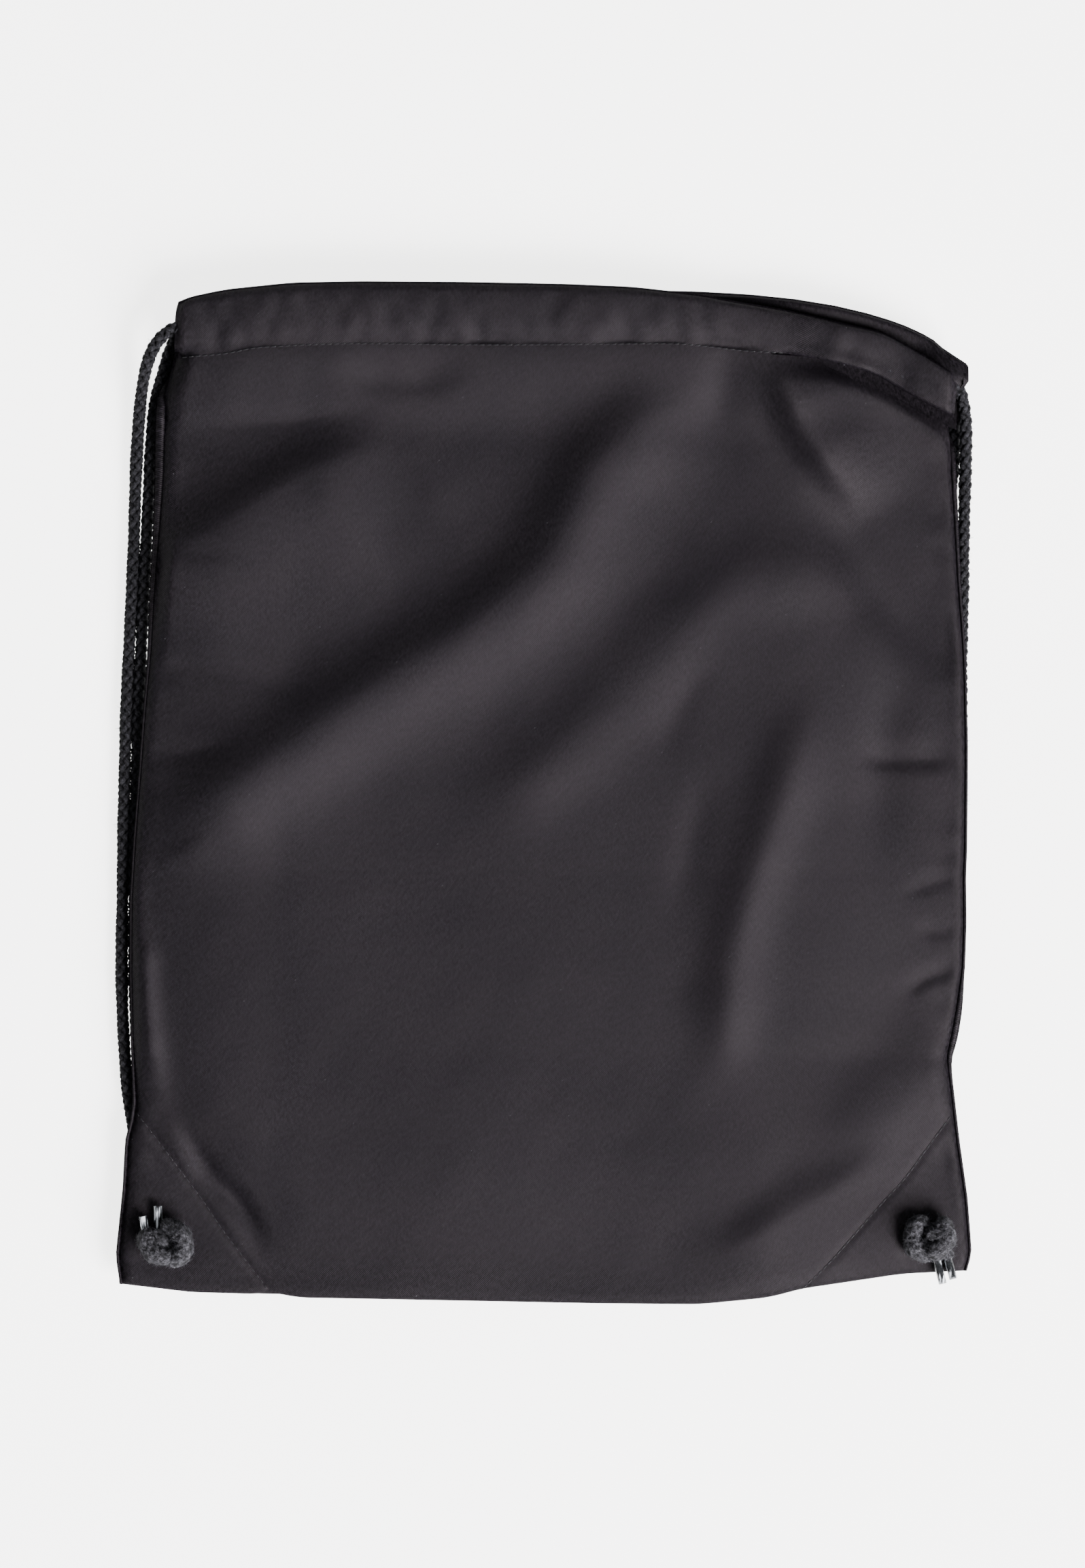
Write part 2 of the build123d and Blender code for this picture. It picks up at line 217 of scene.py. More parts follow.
def twill(name, carried=False):
    """Cotton twill: ribs 0.6 mm apart, heathered yarns, lint, and a sheen that fades at low angles."""
    material, tree, shader = new_material(name)
    cut = millimetres(tree, carried)
    inputs = {"Vector": mapped(tree, cut, 45, (1, 1, 1)), "Scale": 0.5, "Distortion": 1.6, "Detail": 2.0,
              "Detail Scale": 0.9}
    ribs = node(tree, "ShaderNodeTexWave", inputs, wave_type="BANDS", bands_direction="X").outputs["Fac"]
    yarns = mapped(tree, cut, 45, (1.5, 0.8, 1))
    slub = noise(tree, yarns, 1.3, 4.0, 0.7)
    heather = noise(tree, yarns, 0.62, 3.0, 0.65)
    cloud = noise(tree, cut, 0.02, 5.0)
    inputs = {"Vector": cut, "Scale": 0.11, "Randomness": 1.0}
    lint = node(tree, "ShaderNodeTexVoronoi", inputs, feature="F1").outputs["Distance"]

    colour = ramp(tree, slub, 0.36, 0.64, TWILL_DARK, TWILL_LIGHT)
    # painted shade and light: the colour is darkened in the rib grooves and lightened on the rib crests that
    # the bump raises
    colour = multiply(tree, colour, ramp(tree, ribs, 0.1, 0.9, (0.62, 0.6, 0.62), (1.25, 1.25, 1.25)))
    colour = multiply(tree, colour, ramp(tree, cloud, 0.35, 0.65, (0.88, 0.88, 0.9), (1.12, 1.1, 1.08)))
    colour = multiply(tree, colour, ramp(tree, heather, 0.34, 0.66, (0.2, 0.2, 0.22), (2.1, 2.06, 2.03)))
    inputs = {0: grey_ramp(tree, lint, 0.018, 0.03, 1, 0), 6: colour, 7: LINT}
    colour = node(tree, "ShaderNodeMix", inputs, data_type="RGBA", blend_type="MIX").outputs[2]

    height = node(tree, "ShaderNodeMath", {0: slub, 1: 0.7, 2: ribs}, operation="MULTIPLY_ADD").outputs[0]
    facing = node(tree, "ShaderNodeLayerWeight", {}).outputs["Facing"]
    inputs = {"Value": facing, "From Min": 0.12, "From Max": 0.5, "To Min": TWILL_GLOSS, "To Max": 0.0}
    sheen = node(tree, "ShaderNodeMapRange", inputs).outputs["Result"]
    fill(tree, shader, {"Base Color": colour, "Normal": bump(tree, height, 0.6, 0.00012), "Roughness": 0.52,
                        "Specular IOR Level": sheen, "Specular Tint": (1.0, 0.92, 0.95, 1)})
    return material


def cotton_cord(name, dark, light, gloss, carried=False):
    """Soft cotton yarn: fine fibres and small tufts, with painted shade where a yarn dips under its neighbour
    and on its sides, and a painted highlight on its outer face.
    """
    material, tree, shader = new_material(name)
    fibres = noise(tree, mapped(tree, millimetres(tree, carried), 14, (0.55, 2.6, 1)), 1.0, 6.0, 0.75)
    tufts = noise(tree, millimetres(tree, True), 0.95, 4.0, 0.7)
    colour = ramp(tree, fibres, 0.38, 0.66, dark, light)
    colour = multiply(tree, colour, grey_ramp(tree, tufts, 0.38, 0.64, 0.25, 1.9))
    if not carried:
        # painted shade and highlight: the depth value darkens the colour to 0.12 times in the hollows and
        # lightens it to 1.7 times on the outer faces
        depth = node(tree, "ShaderNodeUVMap", {}, uv_map="depth").outputs["UV"]
        outward = node(tree, "ShaderNodeSeparateXYZ", {0: depth}).outputs["X"]
        colour = multiply(tree, colour, grey_ramp(tree, outward, 0.05, 0.95, 0.12, 1.7))
    height = node(tree, "ShaderNodeMath", {0: fibres, 1: tufts}, operation="ADD").outputs[0]
    fill(tree, shader, {"Base Color": colour, "Normal": bump(tree, height, 1.0, 0.0007), "Roughness": 0.8,
                        "Specular IOR Level": gloss})
    return material


def thread(name, colour, gloss):
    """Sewing thread: a fine twist along each stitch."""
    material, tree, shader = new_material(name)
    inputs = {"Vector": own_space(tree), "Scale": 900.0, "Distortion": 1.0}
    wave = node(tree, "ShaderNodeTexWave", inputs, wave_type="BANDS", bands_direction="DIAGONAL")
    twist = wave.outputs["Fac"]
    # painted shade: the colour is darkened in the grooves of the twist that the bump cuts
    tone = ramp(tree, twist, 0.1, 0.9, [c * 0.45 for c in colour], colour)
    fill(tree, shader, {"Base Color": tone, "Normal": bump(tree, twist, 0.5, 0.0001), "Roughness": 0.4,
                        "Specular IOR Level": gloss})
    return material


def clear_plastic(name):
    """Thin clear film rolled round the cord's end: see-through, with painted white highlights along its
    creases.
    """
    material, tree, shader = new_material(name)
    creases_and_painted_glints = noise(tree, mapped(tree, own_space(tree), 0, (620.0, 110.0, 620.0)), 1.0, 2.0)
    # painted highlights: where the crease noise is high the film turns pale and more opaque, standing in for
    # the lamp's reflections
    inputs = {"Value": grey_ramp(tree, creases_and_painted_glints, 0.5, 0.58, 0, 1), "To Min": 0.45, "To Max": 0.85}
    cover = node(tree, "ShaderNodeMapRange", inputs).outputs["Result"]
    tone = ramp(tree, creases_and_painted_glints, 0.5, 0.58, (0.006, 0.007, 0.008), (0.62, 0.66, 0.70))
    fill(tree, shader, {"Base Color": tone, "Alpha": cover, "Normal": bump(tree, creases_and_painted_glints, 0.4, 0.0003),
                        "IOR": 1.5, "Roughness": 0.08, "Specular IOR Level": 0.8})
    return material


front_twill = twill("front_twill")
back_twill = twill("back_twill")
patch_twill = twill("patch_twill", carried=True)
cord_yarn = cotton_cord("cord_yarn", (0.0020, 0.0020, 0.0024), (0.0150, 0.0149, 0.0172), 0.08)
# painted light: the knots are the same cord as the braid, painted about 2.5 times lighter where they stand up
# into the key light
knot_yarn_painted_lighter = cotton_cord("knot_yarn_painted_lighter", (0.0050, 0.0050, 0.0057), (0.0400, 0.0398, 0.0445), 0.10)
core_yarn = cotton_cord("core_yarn", (0.0050, 0.0050, 0.0057), (0.0340, 0.0338, 0.0382), 0.10, carried=True)
black_thread = thread("black_thread", (0.012, 0.012, 0.0135), 0.15)
film = clear_plastic("film")

# ---------------------------------------------------------------- outlines of the cloth
# (y, x) points of the sides, (x, y) points of the rest.
FRONT_LEFT = [(-219.5, -189.6), (-207, -191.4), (-177, -188.2), (-155, -187), (-146, -184.6), (-138, -183.6),
              (-112, -184.6), (-80, -185.2), (-48, -185.2), (-21, -183.6), (12, -181), (38, -179.1),
              (64, -176.6), (84, -175.4), (107, -173.6), (142, -171.2), (157, -170.7), (178, -170.4),
              (188, -167.8), (197, -165.6), (214, -165), (220, -163.6)]
FRONT_RIGHT = [(-214, 187.7), (-206, 190.1), (-181, 188.2), (-156, 184.6), (-131, 181.7), (-118, 180.0),
               (-106, 182.6), (-96, 184.4), (-78, 187), (-58, 187.7), (-37, 187.5), (-25, 188), (20, 188.4),
               (57, 187.7), (73, 186.7), (94, 185), (121, 183.5), (142, 182.2), (157, 181.2), (166, 180.6),
               (178, 183.6), (192, 183.8)]
BOTTOM = [(-191.5, -219.3), (-180, -220.6), (-158.4, -223.2), (-128.7, -224), (-122.2, -223.2),
          (-111, -225.6), (-83, -226.1), (24, -228.2), (69, -228.6), (100, -225.6), (115, -221.6),
          (130, -219.4), (160, -214.9), (190.5, -213.4)]
STITCHED = [(-166, 194.2), (-162.3, 194.8), (-143, 196.4), (-130, 198.8), (-117, 199.7), (-86, 200.8),
            (-18, 200.3), (51, 200.8), (68, 200), (92, 197.4), (111, 196.6), (124, 196.2), (136, 193.4),
            (148, 189.4), (162, 181), (176, 173.4), (184, 170.4)]
FRONT_TOP = [(-166, 218.6), (-161.7, 221.3), (-143.5, 225.2), (-113, 228.3), (-83, 228.9), (-37, 228.6),
             (8.5, 227.7), (39, 226.4), (68.4, 223.1), (84.2, 220.1), (107.3, 216.3), (122.8, 212.8),
             (151.4, 206.1), (179.6, 190.3), (184, 187.6)]
BACK_TOP = [(-166, 218.2), (-161.7, 220.6), (-143.5, 224.6), (-113, 227.6), (-37, 228), (39, 226.2),
            (69.3, 225.5), (99.7, 223.7), (114.9, 221.6), (130, 219.1), (145.3, 215.5), (160.5, 210.6),
            (175.7, 203.2), (180, 199), (184, 191.4)]
BACK_STITCHED = [(-166, 194), (-143, 196.4), (-86, 200.4), (51, 200), (92, 195), (136, 188), (162, 179),
                 (184, 171)]

# Where the left and right seams lie, and how far the back cloth shows beyond them.
SEAM_SHOWS_LEFT = [(-220, 0.6), (-150, 0.8), (-60, 0.5), (40, 0.6), (84, 1.8), (120, 2.6), (157, 4.0),
                   (180, 3.2), (190, 0.8), (225, 0.4)]
SEAM_SHOWS_RIGHT = [(-220, 0.6), (-125, 0.8), (-112, 2.6), (-96, 2.2), (-80, 0.7), (60, 0.6), (100, 1.0),
                    (142, 1.6), (157, 2.2), (170, 1.4), (186, 1.6), (225, 0.6)]

CORNER_STITCH_LEFT = [(-183.1, -142.6), (-171.5, -157.7), (-161.7, -170.8), (-152.4, -183.3), (-145.3, -194),
                      (-138, -203.8), (-123.1, -223.3)]
CORNER_STITCH_RIGHT = [(181.4, -144.4), (172, -157), (160.9, -172), (149, -184.8), (134.3, -201.7),
                       (126.7, -210.2), (114.3, -222.5)]
LEFT_HOLE, RIGHT_HOLE = (-169.6, -200.5), (172.2, -198.5)
HOLE_SHIFT = 0.6              # the slot's middle lies this far above its cords' middle
HOLE_WIDE, HOLE_HIGH = 6.9, 4.4   # half the slot's width and height

# ---------------------------------------------------------------- folds of the front
# (crest line, height, width of the flank on its left, width on its right as the line is followed)
FOLDS = [
    ([(-176, -22), (-146, -2), (-120, 16), (-92, 36), (-60, 56), (-28, 77), (0, 101), (14, 126), (24, 146),
      (40, 161), (60, 169), (74, 173)], 6.2, 17, 24),
    ([(-36, -14), (0, 12), (26, 36), (48, 60), (70, 82), (94, 97), (122, 96), (140, 80)], 2.4, 17, 18),
    ([(80, -136), (83, -84), (90, -48), (101, -16), (111, 14), (117, 50)], 3.2, 13, 12),
    ([(-200, 76), (-174, 97), (-148, 116), (-118, 135), (-90, 148), (-62, 154)], 5.6, 14, 40),
    ([(105, 208), (108, 186), (115, 167), (125, 152), (136, 138), (146, 122)], 7.0, 26, 10),
    ([(114, 146), (136, 112), (156, 84), (192, 46)], -2.8, 13, 13),
    ([(80, 206), (80, 184), (76, 160)], -1.3, 10, 9),
    ([(-172, 167), (-140, 166), (-104, 168), (-72, 172)], -0.9, 4, 6),
    ([(150, -40), (149, 0), (152, 36), (160, 66)], -1.8, 10, 12),
    ([(58, -216), (90, -202), (114, -188), (134, -176), (152, -169), (172, -168)], 3.0, 12, 34),
    ([(118, -178), (150, -148), (170, -124), (192, -90)], 2.6, 20, 18),
    ([(-174, -142), (-160, -161), (-150, -174), (-142, -184), (-135, -195), (-129, -210)], 2.0, 5, 6),
    ([(-166, -146), (-156, -163), (-148, -174), (-139, -183), (-132, -193), (-126, -208)], -3.6, 5, 6),
    ([(-181, -44), (-180, -84), (-176, -120), (-171, -150)], 2.4, 6, 9),
    ([(-30, 188), (-62, 185), (-98, 189)], -1.6, 7, 10),
    ([(50, 10), (62, 40), (78, 62)], -0.5, 7, 7),
    ([(60, -60), (66, -20), (74, 16)], -0.8, 8, 8),
    ([(192, 18), (168, 15), (136, 16)], -1.2, 4, 7),
    ([(189, -38), (174, -40), (158, -46)], -0.6, 3, 4),
    ([(189, -60), (176, -62), (164, -60)], -0.7, 3, 5),
    ([(188, -80), (172, -82), (158, -92)], -0.8, 3, 5),
    ([(-184, 20), (-160, 18), (-136, 24)], -0.7, 4, 5),
    ([(-184, 58), (-140, 54), (-96, 40)], -0.5, 4, 5),
    ([(-184, -28), (-164, -28), (-146, -18)], 0.8, 5, 8),
    ([(-176, 110), (-150, 108), (-128, 101)], -0.5, 3, 4),
    ([(-84, 165), (-60, 152), (-38, 118)], 0.8, 12, 10),
]


def beside(points, x, y):
    """Signed distance from a line, positive on its right, and the share of its length there."""
    line = smooth_line(points, 4.0)
    best = np.full(x.shape, 1e9)
    signed, share = np.zeros_like(x), np.zeros_like(x)
    lengths = run_along(line)
    for i, (a, b) in enumerate(zip(line, line[1:])):
        run = b - a
        size = np.linalg.norm(run)
        t = ((x - a[0]) * run[0] + (y - a[1]) * run[1]) / size**2
        held = np.clip(t, 0, 1)
        dx, dy = x - a[0] - held * run[0], y - a[1] - held * run[1]
        off = np.hypot(dx, dy)
        nearer = off < best
        best = np.where(nearer, off, best)
        side = np.sign((x - a[0]) * run[1] - (y - a[1]) * run[0])
        signed = np.where(nearer, off * side, signed)
        share = np.where(nearer, (lengths[i] + t * size) / lengths[-1], share)
    return signed, share, lengths[-1]


def fold_height(points, height, left, right, x, y):
    """A rounded fold that fades at the ends of its crest line."""
    signed, share, length = beside(points, x, y)
    width = np.where(signed < 0, left, right)
    taper = min(0.42, 48 / length)
    ends = ease((share + 0.02) / taper) * ease((1.02 - share) / taper)
    return height * np.exp(-(signed / width) ** 2) * ends


def dip(centre, reach, depth, x, y):
    """A round hollow; a negative depth raises the cloth."""
    return -depth * np.exp(-(((x - centre[0]) / reach[0]) ** 2 + ((y - centre[1]) / reach[1]) ** 2))


def round_off(share, start, drop):
    """How far a channel falls as it rounds over its top fold, from nothing at `start` to `drop` at 1."""
    return drop * (1 - math.sqrt(max(0, 1 - (max(0, share - start) / (1 - start)) ** 2)))


def plan(across, up):
    """Plan position at a share of the width and of the height of the front panel."""
    x = -170 + 345 * across
    for _ in range(16):
        low = along(BOTTOM, x)
        y = low + (along(STITCHED, x) - low) * up
        x = along(FRONT_LEFT, y, 2.0) + (along(FRONT_RIGHT, y, 2.0) - along(FRONT_LEFT, y, 2.0)) * across
    return x, y


def front_surface(x, y):
    """Height of the front of the bag below its channel."""
    from_left = x - along(FRONT_LEFT, y, 2.0)
    from_right = along(FRONT_RIGHT, y, 2.0) - x
    from_bottom = y - along(BOTTOM, x)
    side = np.minimum(from_left, from_right)
    edge = np.minimum(side, from_bottom)
    corner = np.ones_like(x)
    for stitch, sign in ((CORNER_STITCH_LEFT, 1), (CORNER_STITCH_RIGHT, -1)):
        signed, _, _ = beside(stitch, x, y)
        corner *= ease((2 - signed * sign) / 40)
    raised = ease((np.minimum(from_left + 34, from_right)) / 75)
    z = 9.9 + 2.8 * raised * ease(from_bottom / 70) * corner
    below_hem = along(STITCHED, x) - y
    sag = ease((x - 92) / 36)
    z += (5.6 - 4.0 * sag) * ease((44 - below_hem) / 44) * ease(side / 14 + 0.25)
    z -= 4.6 * sag * ease((13 - below_hem) / 11)
    z -= 1.1 * raised * (1 - ease(from_left / 6))
    z += 0.7 * ease(side / 4) - 1.3 * np.exp(-((edge / 1.1) ** 2))
    loose = ease(edge / 9)
    folds = sum(fold_height(*fold, x, y) for fold in FOLDS)
    z += folds * ease(side / 10 + 0.15) * ease(from_bottom / 10 + 0.1)
    z += 0.22 * waves(x, y, 60, 9, 3) * loose + 0.05 * waves(x, y, 17, 12, 5) * loose
    z += 0.015 * waves(x, y, 5, 14, 6)
    z += 0.45 * waves(x * 0.6, y, 9, 8, 7) * np.exp(-((side / 9) ** 2)) * loose
    for stitch in (CORNER_STITCH_LEFT, CORNER_STITCH_RIGHT):
        signed, share, length = beside(stitch, x, y)
        pucker = 0.08 * np.sin(share * length * 2 * math.pi / 5.3) * np.exp(-((signed / 3.5) ** 2))
        z += pucker - 0.5 * np.exp(-((signed / 1.4) ** 2))
    z += dip((-170, -199), (14, 12), 0.6, x, y) + dip((163, -195), (17, 14), -1.9, x, y)
    return z - 0.12 * np.exp(-(((y + 36) / 1.6) ** 2)) * loose


def cloth(name, rows, across, material):
    """Sheet through rows of (x, y, z); its uv is the flat cut, measured along the cloth in mm."""
    grid = np.stack(rows)
    down = np.linalg.norm(np.diff(grid, axis=0), axis=2)
    up = np.concatenate([np.zeros((1, grid.shape[1])), np.cumsum(down, axis=0)])
    flat_x = np.broadcast_to(-185 + 372 * across, up.shape)
    n, m = up.shape
    index = np.arange(n * m).reshape(n, m)
    faces = np.stack([index[:-1, :-1], index[:-1, 1:], index[1:, 1:], index[1:, :-1]], axis=-1).reshape(-1, 4)
    points = grid.reshape(-1, 3)
    middle = points[faces].mean(axis=1)
    kept = np.ones(len(faces), bool)
    for x, y in (LEFT_HOLE, RIGHT_HOLE):
        across_hole, up_hole = (middle[:, 0] - x) / HOLE_WIDE, (middle[:, 1] - y - HOLE_SHIFT) / HOLE_HIGH
        kept &= across_hole**2 + up_hole**2 > 1
    uv = np.stack([flat_x.ravel(), up.ravel()], axis=1)
    return add_mesh(name, points, faces[kept], uv, material)


# ---------------------------------------------------------------- front cloth: panel, wall, fold and flap
CELL = 1.5                    # size of the front's mesh cells
HEM_SHARES = (0.01, 0.03, 0.06, 0.1, 0.15, 0.2, 0.26, 0.32, 0.38, 0.44, 0.5, 0.56, 0.62, 0.68, 0.74, 0.8,
              0.85, 0.89, 0.93, 0.96, 0.985, 1.0)
LOWEST_HEM = 18.3             # the channel's top clears its cords
# (distance back from the top fold, height) of the flap inside the channel
FRONT_FLAP = [(0.3, 14.4), (1.4, 13.2), (4, 12.6), (9, 12.5), (15, 12.6), (20, 13.2), (24, 14.2), (26, 15.0)]


def spread_shares(length):
    """Shares of a length a cell apart, a little closer together near its ends."""
    t = np.linspace(0, 1, int(length / CELL))
    return 0.85 * t + 0.15 * (0.5 - 0.5 * np.cos(math.pi * t))


across = spread_shares(372)
up = spread_shares(420)
x, y = plan(across[None, :], up[:, None])
rows = list(np.stack([x, y, front_surface(x, y)], axis=2))
base_z = rows[-1][:, 2]
level = np.maximum(LOWEST_HEM, np.convolve(np.pad(base_z, 12, mode="edge"), np.ones(25) / 25, mode="valid"))
hem_x, _ = plan(across, np.ones_like(across))


def hem_row(w):
    """The front channel at a share of its width, from the stitches at 0 to the top fold at 1."""
    y = along(STITCHED, hem_x) + (along(FRONT_TOP, hem_x) - along(STITCHED, hem_x)) * w
    left, right = along(FRONT_LEFT, y, 2.0), along(FRONT_RIGHT, y, 2.0)
    x = left + (right - left) * across
    y = along(STITCHED, x) + (along(FRONT_TOP, x) - along(STITCHED, x)) * w
    hang = ease((x - 92) / 36)
    y = y - 4.2 * hang * math.exp(-(((w - 0.12) / 0.11) ** 2))
    puckers = 0.30 * waves(x * 1.3, y * 0.6, 12, 10, 21) * math.exp(-((w / 0.5) ** 2))
    puckers = puckers + 0.16 * waves(x, y * 0.7, 24, 8, 22) + 0.11 * waves(x, y * 0.6, 5.5, 12, 24)
    puckers = puckers + 0.8 * waves(x, y * 0.5, 15, 6, 23) * ease((x - 90) / 60)
    bulge = level + 1.2 * np.sin(math.pi * w) ** 0.8 + 1.9 * w + 1.1 * hang * (1 - ease(w / 0.3))
    z = base_z + (bulge - base_z) * ease(w / (0.24 - 0.12 * hang))
    z = z + puckers * ease(w / 0.06) * (1 - ease((w - 0.8) / 0.2)) - round_off(w, 0.84, 4.2)
    z -= 2.6 * (1 - ease(np.minimum(x - left, right - x) / 3.4)) * float(ease(w / 0.1))
    return np.stack([x, y, z], axis=1)


rows += [hem_row(w) for w in HEM_SHARES]
top_x, top_y = rows[-1][:, 0], rows[-1][:, 1]
for back, z in FRONT_FLAP:
    rows.append(np.stack([top_x, top_y - back, np.full_like(top_x, z)], axis=1))
front = cloth("front_cloth", rows, across, front_twill)
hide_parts("front_panel", "front_mouth")
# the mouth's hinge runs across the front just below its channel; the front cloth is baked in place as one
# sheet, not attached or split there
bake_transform(front)

# ---------------------------------------------------------------- back cloth
# Where the back wraps over the seam: (millimetres in from the front's edge, height), and below 0 a share of
# what shows beyond that edge
BACK_SECTION = [(0.5, 8.3), (0.2, 9.3), (-0.35, 9.7), (-0.8, 9.2), (-1.0, 8.0), (-0.9, 7.0), (-0.3, 6.5)]
BACK_INNER = (2.5, 6, 10, 14, 18, 23, 30, 40, 54, 72, 92, 114, 138, 162, 180)
BACK_SIDES = ((FRONT_LEFT, SEAM_SHOWS_LEFT, 1, -178.0), (FRONT_RIGHT, SEAM_SHOWS_RIGHT, -1, 184.0))
BACK_LEVEL = 0.7              # the back's outer face lies this far above the floor
# (distance back from the top fold, height) of the flap inside the channel
BACK_FLAP = [(0.4, 5.2), (1.2, 6.8), (2.6, 7.5), (4.4, 7.7), (6.6, 7.7), (9, 7.7), (12, 7.7), (16, 7.6),
             (21, 6.9), (27, 5.2)]


def back_row(share, bottom, top, drop):
    """One line of the back cloth: wrapped over the seam at each side, on the floor between."""
    def y_of(x):
        return float(along(bottom, x) + (along(top, x) - along(bottom, x)) * share)

    halves = []
    for edge, shows, sign, edge_x in BACK_SIDES:
        for _ in range(6):
            y = y_of(edge_x)
            edge_x = float(along(edge, y, 2.0))
        wide = float(along(shows, y, 4.0)) + 0.4
        lump = 3.4 * float(ease((y - 158) / 18) * (1 - ease((y - 183) / 7))) if edge is FRONT_LEFT else 0.0
        half = []
        for inward, z in BACK_SECTION:
            x = edge_x + sign * inward * (wide if inward < 0 else 1.0)
            half.append((x, y_of(x), z - drop + lump))
        for inward in BACK_INNER:
            x = edge_x + sign * inward
            z = BACK_LEVEL + 5.9 * (1 - float(ease((inward - 8) / 14)))
            half.append((x, y_of(x), max(z - drop, 0.6)))
        halves.append(half)
    return np.array(halves[0] + halves[1][::-1])


def back_panel_row(v):
    """The back panel at a share of its height: raised at its bottom seam and corners, tucked at its top."""
    row = back_row(v, BOTTOM, BACK_STITCHED, 0.0)
    lift = 7.4 * (1 - float(ease(v / 0.05)))
    tuck = float(ease((v - 0.93) / 0.05)) * 5.6
    x, y = row[:, 0], row[:, 1]
    from_edge = np.minimum(x - along(FRONT_LEFT, y), along(FRONT_RIGHT, y) - x)
    in_corner = ease((64 - from_edge) / 20) * ease((0.19 - v) / 0.05)
    row[:, 2] = np.maximum(row[:, 2], BACK_LEVEL + 6.2 * in_corner)
    row[:, 2] = np.maximum(row[:, 2], np.where(from_edge > 1, lift, row[:, 2]))
    row[:, 2] = row[:, 2] - tuck * ease((row[:, 2] - 1) / 4)
    return row


def back_channel_row(w):
    row = back_row(w, BACK_STITCHED, BACK_TOP, 5.6)
    row[:, 2] = BACK_LEVEL + round_off(w, 0.86, 3.0)
    return row


def back_flap_row(fold, back, z):
    """The flap behind the top fold: wavy where it stands up on the right, with a rounded tab at its end."""
    row = fold.copy()
    row[:, 1] -= back
    raised = ease((row[:, 0] - 62) / 44)
    ripple = 0.5 * waves(row[:, 0] * 1.4, row[:, 1] * 0.4, 13, 8, 31)
    ripple = ripple + 1.1 * waves(row[:, 0], row[:, 1] * 0.35, 10, 7, 32) * raised
    lift = 9.6 * (1 - math.exp(-back / 0.8)) - 0.62 * max(0.0, min(back, 10) - 2.4)
    row[:, 2] = z + ripple * min(1, back / 3) + lift * raised
    tab = ease((row[:, 1] - 179.5) / 3.5) * (1 - ease((row[:, 1] - 195) / 5)) * (1 - math.exp(-back / 0.9))
    row[:, 2] += (20.2 - row[:, 2]) * tab * ease((row[:, 0] - 166) / 15)
    row[:, 0] += 3.2 * tab * ease((row[:, 0] - 179) / 4)
    return row


back_rows = [back_panel_row(v) for v in np.concatenate([[0, 0.004, 0.012], np.linspace(0.024, 1, 96)])]
back_rows += [back_channel_row(w) for w in (0.1, 0.25, 0.4, 0.55, 0.7, 0.82, 0.92, 0.97, 1.0)]
top_fold = back_rows[-1]
back_rows += [back_flap_row(top_fold, back, z) for back, z in BACK_FLAP]
back_across = (back_rows[0][:, 0] + 190) / 380
back = cloth("back_cloth", back_rows, back_across, back_twill)
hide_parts("back_panel", "back_mouth", "left_side_seam", "right_side_seam", "bottom_seam")
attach(back, "bag")


# ---------------------------------------------------------------- cords
TUBE_UV = 1.4                 # a tube's uv round it, per radian
BRAID_PITCH = 23.0            # length in which a yarn goes once round its cord
KNOT_SIDES = 28


def frames(line):
    """Unit vectors along and across a line, with no twist."""
    ahead = np.gradient(line, axis=0)
    ahead /= np.linalg.norm(ahead, axis=1)[:, None]
    side = np.zeros_like(line)
    start = np.array([0, 0, 1.0]) if abs(ahead[0][2]) < 0.9 else np.array([1.0, 0, 0])
    side[0] = np.cross(ahead[0], start)
    side[0] /= np.linalg.norm(side[0])
    for i in range(1, len(line)):
        turned = side[i - 1] - ahead[i] * (side[i - 1] @ ahead[i])
        side[i] = turned / np.linalg.norm(turned)
    return ahead, side, np.cross(ahead, side)


def ring_faces(count, sides):
    """Faces of a tube of `count` rings."""
    index = np.arange(count * sides).reshape(count, sides)
    turned = np.roll(index, -1, axis=1)
    return np.stack([index[:-1], turned[:-1], turned[1:], index[1:]], axis=-1).reshape(-1, 4)


def tube(line, wide, high, sides):
    """Points, faces and uv of a tube with an oval section; its sizes may change along it."""
    _, side, over = frames(line)
    turn = np.arange(sides) / sides * 2 * math.pi
    a = np.broadcast_to(np.asarray(wide, float), (len(line),))[:, None, None]
    b = np.broadcast_to(np.asarray(high, float), (len(line),))[:, None, None]
    ring = a * np.cos(turn)[None, :, None] * side[:, None] + b * np.sin(turn)[None, :, None] * over[:, None]
    uv = np.stack([np.repeat(run_along(line), sides), np.tile(turn * TUBE_UV, len(line)),
                   np.full(len(line) * sides, 0.6)], axis=1)
    return (line[:, None] + ring).reshape(-1, 3), ring_faces(len(line), sides), uv


def yarn(line, centre, wide, thick, sides, depth):
    """One flattened yarn of the braid: its flat side faces away from the cord's centre line."""
    ahead = np.gradient(line, axis=0)
    ahead /= np.linalg.norm(ahead, axis=1)[:, None]
    out = line - centre
    out -= ahead * np.sum(out * ahead, axis=1)[:, None]
    out /= np.maximum(np.linalg.norm(out, axis=1), 1e-9)[:, None]
    side = np.cross(ahead, out)
    turn = np.arange(sides) / sides * 2 * math.pi
    flat = wide * np.cos(turn)[None, :, None] * side[:, None]
    ring = flat + thick * np.sin(turn)[None, :, None] * out[:, None]
    # painted shade: this value, stored in the uv, darkens the yarn's colour on its sides and inner face, and
    # depth darkens it where the yarn passes under its neighbour
    outer = 0.35 + 0.65 * np.clip(np.sin(turn), 0, 1)
    uv = np.stack([np.repeat(run_along(line), sides), np.tile(turn * wide, len(line)),
                   (depth[:, None] * outer[None, :]).ravel()], axis=1)
    return (line[:, None] + ring).reshape(-1, 3), ring_faces(len(line), sides), uv


